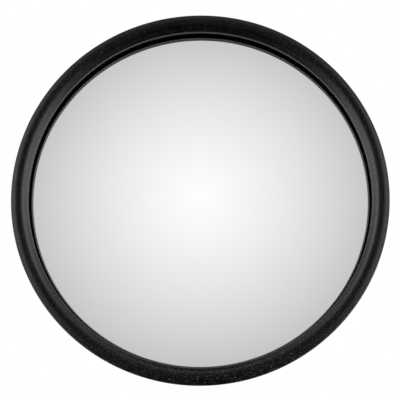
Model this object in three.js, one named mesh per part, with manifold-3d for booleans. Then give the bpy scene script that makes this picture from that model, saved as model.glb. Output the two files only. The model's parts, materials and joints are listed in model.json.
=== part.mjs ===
// A 300 mm convex security mirror on a two-axis wall bracket. Millimetres, +Z up.
//
// The origin is the centre of the wall plate's back face. The wall is the plane y = 0 and the mirror
// looks along -Y. From the wall outwards the object is:
//   wall bracket -> vertical pan pivot -> swivel arm -> horizontal tilt pivot -> tilt yoke -> mirror head
// The head is an acrylic dome and a moulded back cover, clamped edge to edge in the groove of a rubber rim.
// Each pivot is an M8 bolt through two ears, a barrel with nylon bushes, and a wing nut that locks it.

import * as THREE from "three";
import { mergeVertices } from "three/addons/utils/BufferGeometryUtils.js";
import Module from "manifold-3d";

const wasm = await Module();
wasm.setup();

// ---------------------------------------------------------------- driving dimensions

const GAP = 0.3; // clearance between neighbouring solids
const OVERLAP = 0.5; // how far welded or moulded-on features sink into their base before a join

const rim = { radius: 150, crown: 143.9, depth: 22.4, rearLip: 12.5, corner: 3 };
const lip = { radius: 136.15, edge: 2.4, undercut: 140, chamfer: 0.6 };
const inward = { bend: 6, slope: radians(54) }; // how the rim falls from its crown to the lip
const WALL_TAPER = radians(8.5); // how much the rim's outer wall leans inwards towards the rear
const dome = { curvature: 600, thickness: 2, meetsFlange: 138, flangeOuter: 145.8, flangeFront: 13.4 };
const seal = { inner: 139, outer: 145.4, thickness: 1.2 };
const cover = { flange: 1.9, wall: 2.1, skirt: 136.9, skirtDepth: 20.8 };
const shoulder = { radius: 126, depth: 26 };
const boss = { radius: 46, depth: 36.4, thickness: 3, foot: 49, footDepth: 33.4 };
const rib = { count: 12, width: 3, height: 2.4, inner: 47.5, outer: 122 };
const stiffener = { radius: 42, thickness: 2, windowRadius: 11 };

const pivot = { panToWall: 30, panToTilt: 95, tiltToYoke: 24 }; // axis distances
const ear = { radius: 14, thickness: 3, inner: 14.6, hole: 4.5 };
const barrel = { radius: 11, half: 12, bore: 6 };
const bush = { sleeve: 5.7, bore: 4.35, length: 8, flangeRadius: 10.4, flange: 2 };
const rod = { radius: 7 };

const wallPlate = { width: 80, height: 110, thickness: 3, corner: 10, earBase: 21 };
const wallHole = { radius: 3.1, x: 28, z: 42 };
const yoke = { width: 70, height: 56, thickness: 3, corner: 9, earBase: 19 };
const yokeHole = { radius: 2.9, x: 27, z: 20 };

const m8 = { radius: 4, length: 55, chamfer: 0.9, headFlats: 13, headHeight: 5.3 };
const m8Washer = { radius: 8, bore: 4.4, thickness: 1.6 };
const m8LockWasher = { radius: 7.4, bore: 4.4, thickness: 2 };
const m5 = { radius: 2.5, length: 16, chamfer: 0.6 };
const m5Head = { radius: 4.75, height: 3.3, edge: 1.4, crownRadius: 3.2, crownEdge: 2.9 };
const m5Recess = { length: 5, width: 1.1, depth: 1.9 };
const m5LockWasher = { radius: 4.4, bore: 2.85, thickness: 1.2 };
const m5Nut = { flats: 8, height: 4, bore: 2.85 };
const wingNut = { base: 8, top: 6.4, collar: 2, hub: 10, bore: 4.35 };
const wing = { span: 17.5, height: 17, thickness: 3.2, tip: 4.4 };
const LOCK_WASHER_SLIT = radians(8);

const ROUND = 60; // facets around the large turned pieces
const MEDIUM = 24; // facets around barrels, bushes and M8 parts
const SMALL = 12; // facets around M5 parts

// Depths along the head's axis, measured rearwards from the rim's crown.
const depth = {};
depth.apex = dome.flangeFront - sagitta(dome.curvature, dome.meetsFlange);
depth.flangeRear = dome.flangeFront + dome.thickness;
depth.sealFront = depth.flangeRear + GAP;
depth.sealRear = depth.sealFront + seal.thickness;
depth.coverFront = depth.sealRear + GAP;
depth.coverRear = depth.coverFront + cover.flange;
depth.bossFront = boss.depth - boss.thickness;
depth.stiffenerRear = depth.bossFront - GAP;
depth.plateNutRear = depth.stiffenerRear - stiffener.thickness - GAP;
depth.yokeRear = boss.depth + GAP + yoke.thickness;
depth.tiltAxis = depth.yokeRear + pivot.tiltToYoke;

// ---------------------------------------------------------------- materials

function finish(color, roughness, metalness) {
  return new THREE.MeshStandardMaterial({ color, roughness, metalness });
}

const material = {
  rubber: finish(0x141415, 0.62, 0),
  mirror: finish(0xe8eaec, 0.03, 1),
  abs: finish(0x1b1b1c, 0.5, 0),
  foam: finish(0x2a2a2a, 0.95, 0),
  powderCoat: finish(0x18181a, 0.45, 0.3),
  zinc: finish(0xb9bcbf, 0.32, 1),
  nylon: finish(0xd9d6cc, 0.5, 0),
};

// ---------------------------------------------------------------- geometry helpers

function radians(degrees) {
  return (degrees * Math.PI) / 180;
}

// How far a sphere's cap rises over a chord of this half width.
function sagitta(radius, halfChord) {
  return radius - Math.sqrt(radius * radius - halfChord * halfChord);
}

function solidOf(geometry) {
  const bare = geometry.index ? geometry.toNonIndexed() : geometry.clone();
  bare.deleteAttribute("normal");
  bare.deleteAttribute("uv");
  const merged = mergeVertices(bare, 1e-4);
  return new wasm.Manifold(
    new wasm.Mesh({
      numProp: 3,
      vertProperties: merged.attributes.position.array,
      triVerts: new Uint32Array(merged.index.array),
    }),
  );
}

function geometryOf(solid) {
  const mesh = solid.getMesh();
  const positions = new Float32Array(mesh.numVert * 3);
  for (let i = 0; i < mesh.numVert; i++) {
    positions.set(mesh.vertProperties.subarray(i * mesh.numProp, i * mesh.numProp + 3), i * 3);
  }
  const geometry = new THREE.BufferGeometry();
  geometry.setAttribute("position", new THREE.BufferAttribute(positions, 3));
  geometry.setIndex(new THREE.BufferAttribute(mesh.triVerts, 1));
  geometry.computeVertexNormals();
  return geometry;
}

function join(first, ...others) {
  return geometryOf(others.reduce((sum, g) => sum.add(solidOf(g)), solidOf(first)));
}

function cut(first, ...others) {
  return geometryOf(others.reduce((rest, g) => rest.subtract(solidOf(g)), solidOf(first)));
}

// Revolves a profile of [radius, height] pairs about the Y axis. Seen with radius to the right and height
// upwards, the profile runs counter-clockwise.
function turned(profile, segments) {
  return new THREE.LatheGeometry(
    profile.map(([radius, height]) => new THREE.Vector2(radius, height)),
    segments,
  );
}

// The same about the Z axis, with heights along +Z.
function turnedZ(profile, segments) {
  return turned(profile, segments).rotateX(Math.PI / 2);
}

// A cylinder about the Z axis between two heights.
function pin(radius, low, high, segments) {
  return turnedZ([[0, low], [radius, low], [radius, high], [0, high]], segments);
}

// Points on an ellipse's arc as [x, y] pairs, both ends included.
function arc(cx, cy, rx, ry, from, to, steps) {
  return Array.from({ length: steps + 1 }, (_, i) => {
    const angle = from + ((to - from) * i) / steps;
    return [cx + rx * Math.cos(angle), cy + ry * Math.sin(angle)];
  });
}

// A flat outline from [x, y] pairs, with round holes given as [x, y, radius, facets].
function outlineOf(points, ...holes) {
  const shapeOf = (pairs) => new THREE.Shape(pairs.map(([x, y]) => new THREE.Vector2(x, y)));
  const shape = shapeOf(points);
  shape.holes = holes.map(([x, y, radius, facets]) =>
    shapeOf(arc(x, y, radius, radius, 0, 2 * Math.PI, facets).slice(1)),
  );
  return shape;
}

// An outline in the XY plane pushed along +Z.
function extruded(shape, thickness) {
  return new THREE.ExtrudeGeometry(shape, { depth: thickness, bevelEnabled: false });
}

// The four corners of a rectangle centred on the origin.
function corners(x, y) {
  return [[x, y], [-x, y], [-x, -y], [x, -y]];
}

function hexagon(flats) {
  return arc(0, 0, flats / Math.sqrt(3), flats / Math.sqrt(3), 0, (5 * Math.PI) / 3, 5);
}

function roundedRectangle(width, height, radius) {
  return corners(width / 2 - radius, height / 2 - radius).flatMap(([x, y], i) =>
    arc(x, y, radius, radius, (i * Math.PI) / 2, ((i + 1) * Math.PI) / 2, 4),
  );
}

// ---------------------------------------------------------------- mirror head: turned pieces
// Heights in these profiles are depths behind the rim's crown, so they grow towards the wall.

// Rubber rim: a bull-nosed front that falls steeply to an undercut lip over the mirror, a tapered outer
// wall, and a groove for both flanges.
function rimRing() {
  const { bend, slope } = inward;
  const innerBend = arc(rim.crown, bend, bend, bend, -Math.PI / 2 - slope, -Math.PI / 2, 4);
  const [slopeRadius, slopeDepth] = innerBend[0];
  const lipFront = slopeDepth + (slopeRadius - lip.radius) * Math.tan(slope);
  const lipRear = lipFront + lip.edge;
  const nose = rim.radius - rim.crown;
  const outerBend = arc(rim.crown, nose, nose, nose, -Math.PI / 2, 0, 5).slice(1);
  const cornerDepth = rim.depth - rim.corner;
  const cornerRadius = rim.radius - (cornerDepth - nose) * Math.tan(WALL_TAPER) - rim.corner;
  const grooveFront = dome.flangeFront - GAP;
  const grooveRear = depth.coverRear + GAP;
  const grooveBottom = dome.flangeOuter + 2 * GAP;
  const rearInner = rim.radius - rim.rearLip;
  const chamfer = rim.corner / 2;
  return turned(
    [
      [lip.radius, lipRear],
      [lip.radius, lipFront],
      ...innerBend,
      ...outerBend,
      ...arc(cornerRadius, cornerDepth, rim.corner, rim.corner, 0, Math.PI / 2, 3),
      [rearInner + chamfer, rim.depth],
      [rearInner, rim.depth - chamfer],
      [rearInner, grooveRear],
      [grooveBottom, grooveRear],
      [grooveBottom, grooveFront],
      [lip.undercut, grooveFront],
      [lip.undercut, lipRear + lip.chamfer],
      [lip.undercut - lip.chamfer, lipRear],
      [lip.radius, lipRear],
    ],
    ROUND,
  );
}

// Acrylic dome with a flat flange around it. Its front and back are concentric spheres.
function mirrorDome() {
  const centre = depth.apex + dome.curvature;
  const innerRadius = dome.curvature - dome.thickness;
  const frontEdge = Math.asin(dome.meetsFlange / dome.curvature);
  const backEdge = Math.acos((centre - depth.flangeRear) / innerRadius);
  const pole = -Math.PI / 2;
  const front = arc(0, centre, dome.curvature, dome.curvature, pole, pole + frontEdge, 7);
  const back = arc(0, centre, innerRadius, innerRadius, pole + backEdge, pole, 5);
  front[0][0] = 0;
  back[back.length - 1][0] = 0;
  return turned(
    [...front, [dome.flangeOuter, dome.flangeFront], [dome.flangeOuter, depth.flangeRear], ...back],
    ROUND,
  );
}

// Foam strip between the two flanges.
function sealRing() {
  const { inner, outer } = seal;
  const front = depth.sealFront;
  const rear = depth.sealRear;
  return turned([[inner, front], [outer, front], [outer, rear], [inner, rear], [inner, front]], ROUND);
}

// Moulded back cover: edge flange, skirt, shallow cone with ribs, and a flat boss for the yoke.
function backCover() {
  const { wall, skirt, skirtDepth } = cover;
  const skirtInside = skirt - wall;
  const bendRadius = skirt - shoulder.radius;
  const bendDepth = shoulder.depth - skirtDepth;
  const shell = turned(
    [
      [0, depth.bossFront],
      [boss.radius - 1, depth.bossFront],
      [boss.foot, boss.footDepth - wall],
      [shoulder.radius, shoulder.depth - wall],
      [skirtInside, skirtDepth - wall / 2],
      [skirtInside, depth.coverFront],
      [dome.flangeOuter, depth.coverFront],
      [dome.flangeOuter, depth.coverRear],
      [skirt, depth.coverRear],
      ...arc(shoulder.radius, skirtDepth, bendRadius, bendDepth, 0, Math.PI / 2, 4),
      [boss.foot, boss.footDepth],
      [boss.radius, boss.depth],
      [0, boss.depth],
    ],
    ROUND,
  );
  const slope = (boss.footDepth - shoulder.depth) / (shoulder.radius - boss.foot);
  const coneDepth = (radius) => boss.footDepth - slope * (radius - boss.foot);
  const outline = outlineOf([
    [rib.inner, coneDepth(rib.inner) - wall / 2],
    [rib.outer, coneDepth(rib.outer) - OVERLAP],
    [rib.outer - rib.height, coneDepth(rib.outer) + rib.height],
    [rib.inner, coneDepth(rib.inner) + rib.height],
  ]);
  const ribs = Array.from({ length: rib.count }, (_, i) =>
    extruded(outline, rib.width)
      .translate(0, 0, -rib.width / 2)
      .rotateY(((i + 0.5) * 2 * Math.PI) / rib.count),
  );
  const holes = corners(yokeHole.x, yokeHole.z).map(([x, z]) =>
    pin(yokeHole.radius, -boss.depth - GAP, -depth.bossFront + GAP, SMALL)
      .rotateX(Math.PI / 2)
      .translate(x, 0, z),
  );
  return cut(join(shell, ...ribs), ...holes);
}

// Steel disc inside the cover's boss, which spreads the yoke screws' load.
function stiffenerPlate() {
  const { radius, thickness, windowRadius } = stiffener;
  const disc = outlineOf(
    arc(0, 0, radius, radius, 0, 2 * Math.PI, ROUND).slice(1),
    [0, 0, windowRadius, MEDIUM],
    ...corners(yokeHole.x, yokeHole.z).map(([x, z]) => [x, z, yokeHole.radius, SMALL]),
  );
  return extruded(disc, thickness)
    .rotateX(Math.PI / 2)
    .translate(0, depth.stiffenerRear, 0);
}

// ---------------------------------------------------------------- pivots
// Each pivot is built about the Z axis, centred on z = 0.

// A pair of ears with the pivot at the origin. The plate that they stand on is at y = reach.
function ears(reach, baseHalf) {
  const { radius, thickness, inner, hole } = ear;
  const lean = Math.acos(radius / Math.hypot(baseHalf, reach)) - Math.atan2(reach, baseHalf);
  const roundEnd = arc(0, 0, radius, radius, Math.PI + lean, 2 * Math.PI - lean, SMALL);
  const outline = outlineOf([[-baseHalf, reach], ...roundEnd, [baseHalf, reach]], [0, 0, hole, MEDIUM]);
  const plate = extruded(outline, thickness);
  return [plate.clone().translate(0, 0, inner), plate.translate(0, 0, -inner - thickness)];
}

// Flanged nylon bush pressed into the top of a barrel. The flange rubs on the ear.
function flangedBush() {
  const seat = barrel.half + GAP;
  return turnedZ(
    [
      [bush.bore, seat - bush.length],
      [bush.sleeve, seat - bush.length],
      [bush.sleeve, seat],
      [bush.flangeRadius, seat],
      [bush.flangeRadius, seat + bush.flange],
      [bush.bore, seat + bush.flange],
      [bush.bore, seat - bush.length],
    ],
    MEDIUM,
  );
}

// Hexagon bolt with its head's underside at z = 0 and the shank pointing down.
function hexBolt() {
  const head = extruded(outlineOf(hexagon(m8.headFlats)), m8.headHeight);
  const shank = turnedZ(
    [
      [0, -m8.length],
      [m8.radius - m8.chamfer, -m8.length],
      [m8.radius, -m8.length + m8.chamfer],
      [m8.radius, OVERLAP],
      [0, OVERLAP],
    ],
    MEDIUM,
  );
  return join(head, shank);
}

// Plain washer standing on z = 0.
function plainWasher({ radius, bore, thickness }) {
  return turnedZ([[bore, 0], [radius, 0], [radius, thickness], [bore, thickness], [bore, 0]], MEDIUM);
}

// Split lock washer standing on z = 0.
function lockWasher({ radius, bore, thickness }, facets) {
  const outside = arc(0, 0, radius, radius, LOCK_WASHER_SLIT, 2 * Math.PI, facets);
  const inside = arc(0, 0, bore, bore, 2 * Math.PI, LOCK_WASHER_SLIT, facets);
  return extruded(outlineOf([...outside, ...inside]), thickness);
}

// Wing nut standing on z = 0, with its wings along X.
function wingedNut() {
  const { base, top, collar, hub, bore } = wingNut;
  const { span, height, thickness, tip } = wing;
  const body = turnedZ([[bore, 0], [base, 0], [base, collar], [top, hub], [bore, hub], [bore, 0]], MEDIUM);
  const root = (bore + top) / 2;
  const outline = outlineOf([
    [root, collar / 2],
    [base, collar / 2],
    ...arc(base, height - 2 * tip, span - base, height - 3 * tip, -Math.PI / 2, 0, 4),
    ...arc(span - tip, height - tip, tip, tip, 0, 0.8 * Math.PI, 6),
    [base, hub],
    [root, hub - OVERLAP],
  ]);
  const right = extruded(outline, thickness)
    .translate(0, 0, -thickness / 2)
    .rotateX(Math.PI / 2);
  return join(body, right, right.clone().rotateZ(Math.PI));
}

// Pan-head screw with a cross recess, its head's underside at z = 0 and the shank pointing down.
function panScrew() {
  const { radius, length, chamfer } = m5;
  const body = turnedZ(
    [
      [0, -length],
      [radius - chamfer, -length],
      [radius, -length + chamfer],
      [radius, 0],
      [m5Head.radius, 0],
      [m5Head.radius, m5Head.edge],
      [m5Head.crownRadius, m5Head.crownEdge],
      [0, m5Head.height],
    ],
    SMALL,
  );
  const slot = new THREE.BoxGeometry(m5Recess.length, m5Recess.width, 2 * m5Recess.depth);
  slot.translate(0, 0, m5Head.height);
  return cut(body, slot, slot.clone().rotateZ(Math.PI / 2));
}

// Hexagon nut standing on z = 0.
function plateNut() {
  return extruded(outlineOf(hexagon(m5Nut.flats), [0, 0, m5Nut.bore, SMALL]), m5Nut.height);
}

// ---------------------------------------------------------------- brackets and arm

// Rectangular plate with rounded corners and four holes, between y = 0 and y = -thickness.
function drilledPlate({ width, height, thickness, corner }, hole) {
  const holes = corners(hole.x, hole.z).map(([x, z]) => [x, z, hole.radius, SMALL]);
  const outline = outlineOf(roundedRectangle(width, height, corner), ...holes);
  return extruded(outline, thickness).rotateX(Math.PI / 2);
}

// Wall plate with the two pan ears welded to it. Its back face is y = 0.
function wallBracket() {
  const reach = pivot.panToWall - wallPlate.thickness + OVERLAP;
  const panEars = ears(reach, wallPlate.earBase).map((g) => g.translate(0, -pivot.panToWall, 0));
  return join(drilledPlate(wallPlate, wallHole), ...panEars);
}

// Yoke plate with the two tilt ears welded to it. The tilt axis is the X axis through the origin.
function tiltYoke() {
  const plate = drilledPlate(yoke, yokeHole).translate(0, -pivot.tiltToYoke, 0);
  const tiltEars = ears(pivot.tiltToYoke + OVERLAP, yoke.earBase).map((g) =>
    g.rotateZ(Math.PI).rotateY(Math.PI / 2),
  );
  return join(plate, ...tiltEars);
}

// Two barrels at right angles on a round bar. The pan axis is the Z axis through the origin.
function swivelArm() {
  const toTilt = (g) => g.rotateY(Math.PI / 2).translate(0, -pivot.panToTilt, 0);
  const tube = () => pin(barrel.radius, -barrel.half, barrel.half, MEDIUM);
  const bore = () => pin(barrel.bore, -barrel.half - 1, barrel.half + 1, MEDIUM);
  const bar = pin(rod.radius, 0, pivot.panToTilt, MEDIUM).rotateX(Math.PI / 2);
  return cut(join(bar, tube(), toTilt(tube())), bore(), toTilt(bore()));
}

// ---------------------------------------------------------------- assembly

function add(parent, name, geometry, finishUsed) {
  const mesh = new THREE.Mesh(geometry, finishUsed);
  mesh.name = name;
  parent.add(mesh);
  return mesh;
}

function group(parent, x, y, z) {
  const made = new THREE.Group();
  made.position.set(x, y, z);
  parent.add(made);
  return made;
}

// Bolt, washers and wing nut that clamp one pivot, and the two bushes in its barrel. The bolt's head is at
// the first end, which is +Z here.
function addClamp(parent, name, firstEnd, secondEnd) {
  const washerAt = ear.inner + ear.thickness + GAP;
  const headAt = washerAt + m8Washer.thickness + GAP;
  const nutAt = headAt + m8LockWasher.thickness + GAP;
  const washer = () => plainWasher(m8Washer);
  const lock = lockWasher(m8LockWasher, MEDIUM);
  add(parent, `${name}_bolt`, hexBolt(), material.zinc).position.z = headAt;
  add(parent, `${name}_head_washer`, washer(), material.zinc).position.z = washerAt;
  add(parent, `${name}_nut_washer`, washer(), material.zinc).position.z = -washerAt - m8Washer.thickness;
  add(parent, `${name}_lock_washer`, lock, material.zinc).position.z = -headAt - m8LockWasher.thickness;
  const nut = add(parent, `${name}_wing_nut`, wingedNut(), material.zinc);
  nut.position.z = -nutAt;
  nut.rotation.x = Math.PI;
  add(parent, `${name}_bush_${firstEnd}`, flangedBush(), material.nylon);
  add(parent, `${name}_bush_${secondEnd}`, flangedBush(), material.nylon).rotation.x = Math.PI;
}

// Screw, lock washer and nut at each corner of the yoke plate.
function addYokeFasteners(parent) {
  const lockAt = depth.yokeRear + GAP;
  const screwAt = lockAt + m5LockWasher.thickness + GAP;
  const nutAt = depth.plateNutRear - m5Nut.height;
  corners(yokeHole.x, yokeHole.z).forEach(([x, z], i) => {
    const place = group(parent, x, 0, z);
    place.rotation.x = -Math.PI / 2;
    const lock = lockWasher(m5LockWasher, SMALL);
    add(place, `yoke_screw_${i + 1}`, panScrew(), material.zinc).position.z = screwAt;
    add(place, `yoke_lock_washer_${i + 1}`, lock, material.zinc).position.z = lockAt;
    add(place, `plate_nut_${i + 1}`, plateNut(), material.zinc).position.z = nutAt;
  });
}

const mirror = new THREE.Group();

add(mirror, "wall_bracket", wallBracket(), material.powderCoat);
const panPivot = group(mirror, 0, -pivot.panToWall, 0);
addClamp(panPivot, "pan", "top", "bottom");
add(panPivot, "swivel_arm", swivelArm(), material.powderCoat);

const tiltPivot = group(panPivot, 0, -pivot.panToTilt, 0);
const tiltClamp = group(tiltPivot, 0, 0, 0);
tiltClamp.rotation.y = -Math.PI / 2;
addClamp(tiltClamp, "tilt", "left", "right");
add(tiltPivot, "tilt_yoke", tiltYoke(), material.powderCoat);

// Everything in this group is placed by its depth behind the rim's crown.
const head = group(tiltPivot, 0, -depth.tiltAxis, 0);
add(head, "rim", rimRing(), material.rubber);
add(head, "mirror_dome", mirrorDome(), material.mirror);
add(head, "seal_ring", sealRing(), material.foam);
add(head, "back_cover", backCover(), material.abs);
add(head, "stiffener_plate", stiffenerPlate(), material.zinc);
addYokeFasteners(head);

export default mirror;
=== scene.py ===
import json
import math

import bmesh
import bpy
import numpy as np
from mathutils import Matrix, Vector


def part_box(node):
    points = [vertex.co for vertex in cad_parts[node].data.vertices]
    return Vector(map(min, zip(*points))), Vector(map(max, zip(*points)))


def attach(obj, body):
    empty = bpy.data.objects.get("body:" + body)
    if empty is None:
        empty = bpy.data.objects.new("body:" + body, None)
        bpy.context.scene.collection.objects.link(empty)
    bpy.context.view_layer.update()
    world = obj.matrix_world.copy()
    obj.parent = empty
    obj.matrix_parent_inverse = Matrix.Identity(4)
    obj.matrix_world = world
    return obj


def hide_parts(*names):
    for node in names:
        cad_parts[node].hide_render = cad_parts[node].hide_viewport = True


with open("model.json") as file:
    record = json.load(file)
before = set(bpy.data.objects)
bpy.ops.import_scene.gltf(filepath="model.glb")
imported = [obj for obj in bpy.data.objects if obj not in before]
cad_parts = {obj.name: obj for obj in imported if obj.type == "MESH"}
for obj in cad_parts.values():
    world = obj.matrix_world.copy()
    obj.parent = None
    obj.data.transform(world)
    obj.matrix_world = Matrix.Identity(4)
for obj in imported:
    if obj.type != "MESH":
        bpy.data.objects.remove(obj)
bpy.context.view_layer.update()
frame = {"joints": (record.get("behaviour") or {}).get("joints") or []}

# A 300 mm convex security mirror. Each piece below stands for the CAD node of the same name, built finely.
# Pieces of the mirror head are turned about the head's axis, and placed by their depth behind the rim's
# crown. Pieces of the two pivots are built about +Z with the pivot at the origin, and then placed.

joints = {joint["name"]: joint for joint in frame["joints"]}

# ---------------------------------------------------------------- places and sizes

MM = 0.001
TAU = 2 * math.pi

PAN_AXIS = Vector(joints["pan"]["pos_m"])
TILT_AXIS = Vector(joints["tilt"]["pos_m"])
CROWN_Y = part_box("rim")[0].y
HEAD_CENTRE = Vector((0, CROWN_Y, 0))

AT_PAN = Matrix.Translation(PAN_AXIS)
AT_TILT = Matrix.Translation(TILT_AXIS) @ Matrix.Rotation(-math.pi / 2, 4, "Y")
ON_HEAD = Matrix.Translation(HEAD_CENTRE)
IN_PLACE = Matrix.Identity(4)
FORWARDS = Matrix.Rotation(math.pi / 2, 4, "X")  # turns +Z to -Y
REARWARDS = Matrix.Rotation(-math.pi / 2, 4, "X")
UPSIDE_DOWN = Matrix.Rotation(math.pi, 4, "X")
HALF_TURN = Matrix.Rotation(math.pi, 4, "Z")

FACE_GAP = 0.3 * MM  # between the faces of pieces that touch

# The rim. Its crown is where it comes furthest forward.
RIM_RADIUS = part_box("rim")[1].x
RIM_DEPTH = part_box("rim")[1].y - CROWN_Y
RIM_CROWN = 143.9 * MM
RIM_SHOULDER = 6 * MM  # the rounding from the crown into the inner slope
RIM_SLOPE = math.radians(54)  # of the inner slope, from the mirror's plane
RIM_TAPER = math.radians(8.5)  # of the outer wall, towards the rear
RIM_REAR_INNER = 137.5 * MM
RIM_LIP = 136.15 * MM
LIP_EDGE = 2.4 * MM  # the width of the lip's cut edge
LIP_UNDERCUT = 140 * MM
GROOVE_BOTTOM = 146.4 * MM
GROOVE_PLAY = 0.35 * MM

# The mirror and the foam behind its flange.
DOME_CURVATURE = 600 * MM
DOME_THICKNESS = 2 * MM
DOME_EDGE = 138 * MM
FLANGE_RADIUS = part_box("mirror_dome")[1].x
FLANGE_FRONT = 13.4 * MM
SEAL_WIDTH = 6.4 * MM

# The back cover. From the outside in, it is a flange, a skirt, a shoulder, a ribbed cone and a flat boss.
COVER_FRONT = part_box("back_cover")[0].y - CROWN_Y
COVER_REAR = COVER_FRONT + 1.9 * MM
COVER_WALL = 2.1 * MM
SKIRT_RADIUS = 136.9 * MM
SKIRT_DEPTH = 20.8 * MM
SHOULDER_RADIUS = 126 * MM
SHOULDER_DEPTH = 26 * MM
BOSS_RADIUS = 46 * MM
BOSS_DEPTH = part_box("back_cover")[1].y - CROWN_Y
BOSS_THICKNESS = 3 * MM
BOSS_FOOT = 49 * MM
BOSS_FOOT_DEPTH = 33.4 * MM
RIB_COUNT = 12
RIB_HALF_WIDTH = 1.5 * MM
RIB_HEIGHT = 2.4 * MM
RIB_OUTER = 122 * MM
HALF_SECTOR = math.pi / RIB_COUNT

# The brackets and the arm. Holes are (half spacing across, half spacing up, radius).
WALL_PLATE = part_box("wall_bracket")[1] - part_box("wall_bracket")[0]
PLATE_THICKNESS = 3 * MM
WALL_HOLES = (28 * MM, 42 * MM, 3.1 * MM)
WALL_CORNER = 10 * MM
WALL_EAR_BASE = 21 * MM
YOKE_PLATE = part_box("tilt_yoke")[1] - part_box("tilt_yoke")[0]
YOKE_HOLES = (27 * MM, 20 * MM, 2.9 * MM)
YOKE_CORNER = 9 * MM
YOKE_EAR_BASE = 19 * MM
YOKE_REAR = TILT_AXIS.y - 24 * MM
STIFFENER_THICKNESS = 2 * MM
STIFFENER_BORE = 11 * MM

EAR_RADIUS = 14 * MM
EAR_THICKNESS = 3 * MM
EAR_INNER = 14.6 * MM
EAR_HOLE = 4.5 * MM
EAR_BEAD = 1.9 * MM
BARREL_RADIUS = 11 * MM
BARREL_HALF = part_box("swivel_arm")[1].z
BARREL_BORE = 6 * MM
ROD_RADIUS = 7 * MM
ROD_BEAD = 1.7 * MM

# The fasteners.
M8_RADIUS = 4 * MM
M8_PITCH = 1.25 * MM
M8_FLATS = 13 * MM
M8_HEAD = 5.3 * MM
M8_PLAIN_SHANK = 22 * MM
M8_WASHER = 1.6 * MM
M8_LOCK_WASHER = 2 * MM
M5_RADIUS = 2.5 * MM
M5_PITCH = 0.8 * MM
M5_LENGTH = 16 * MM
M5_HEAD_RADIUS = 4.75 * MM
M5_HEAD = 3.3 * MM
M5_FLATS = 8 * MM
M5_NUT = 4 * MM

ROUND = 240  # facets around the head's turned pieces
MEDIUM = 96  # facets around barrels, washers and bolts
SMALL = 48  # facets around M5 parts


# ---------------------------------------------------------------- mesh helpers


def sagitta(radius, half_chord):
    return radius - math.sqrt(radius * radius - half_chord * half_chord)


def smooth_step(low, high, value):
    t = min(max((value - low) / (high - low), 0), 1)
    return t * t * (3 - 2 * t)


def arc(cx, cy, rx, ry, start, end, steps):
    """Points on an ellipse's arc, both ends included."""
    angles = [start + (end - start) * i / steps for i in range(steps + 1)]
    return [(cx + rx * math.cos(a), cy + ry * math.sin(a)) for a in angles]


def circle(x, y, radius, facets):
    return arc(x, y, radius, radius, 0, TAU, facets)[:-1]


def corners(x, y):
    return [(x, y), (-x, y), (-x, -y), (x, -y)]


def rounded(points, steps=4):
    """An outline from (x, y, radius) corners, each rounded by an arc. A radius of 0 keeps the corner."""
    outline = []
    for i, (x, y, radius) in enumerate(points):
        here = Vector((x, y))
        if radius == 0:
            outline.append((x, y))
            continue
        before = (Vector(points[i - 1][:2]) - here).normalized()
        after = (Vector(points[(i + 1) % len(points)][:2]) - here).normalized()
        half = before.angle(after) / 2
        centre = here + (before + after).normalized() * radius / math.sin(half)
        start = here + before * radius / math.tan(half) - centre
        end = here + after * radius / math.tan(half) - centre
        turn = start.angle_signed(end)
        for k in range(steps + 1):
            outline.append(tuple(centre + Matrix.Rotation(-turn * k / steps, 2) @ start))
    return outline


def finished(bm, sharp=32):
    """A mesh with outward faces, shaded smooth except across edges sharper than this angle in degrees."""
    bmesh.ops.remove_doubles(bm, verts=bm.verts, dist=1e-7)
    bmesh.ops.recalc_face_normals(bm, faces=bm.faces)
    if bm.calc_volume(signed=True) < 0:
        bmesh.ops.reverse_faces(bm, faces=bm.faces)
    mesh = bpy.data.meshes.new("mesh")
    bm.to_mesh(mesh)
    bm.free()
    mesh.shade_smooth()
    mesh.set_sharp_from_angle(angle=math.radians(sharp))
    return mesh


def flat_where_flat(mesh):
    """Weights the shading towards large faces, so that they look flat right up to their rounded edges."""
    work = bpy.data.objects.new("work", mesh)
    modifier = work.modifiers.new("weighted", "WEIGHTED_NORMAL")
    modifier.keep_sharp = True
    return mesh_of(work)


def skinned(rings, loop=True, sharp=32):
    """A closed mesh over rings of points. Each ring closes on itself. The rings loop or get end caps."""
    rings = np.asarray(rings, float)
    count, size = rings.shape[:2]
    bm = bmesh.new()
    vertices = [bm.verts.new(p) for p in rings.reshape(-1, 3)]
    for i in range(count if loop else count - 1):
        a = i * size
        b = (i + 1) % count * size
        for j in range(size):
            k = (j + 1) % size
            bm.faces.new([vertices[n] for n in (a + j, a + k, b + k, b + j)])
    if not loop:
        bm.faces.new(vertices[:size])
        bm.faces.new(vertices[-size:])
    return finished(bm, sharp)


def turned(profile, facets=MEDIUM, sharp=32):
    """A profile of (radius, height) pairs turned about Z. It closes on itself or ends on the axis."""
    profile = np.array(profile)
    angles = np.arange(facets) / facets * TAU
    rings = np.empty((facets, len(profile), 3))
    rings[:, :, 0] = np.cos(angles)[:, None] * profile[:, 0]
    rings[:, :, 1] = np.sin(angles)[:, None] * profile[:, 0]
    rings[:, :, 2] = profile[:, 1]
    return skinned(rings, sharp=sharp)


def cylinder(radius, start, end, facets=MEDIUM):
    return turned([(0, start), (radius, start), (radius, end), (0, end)], facets)


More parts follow.
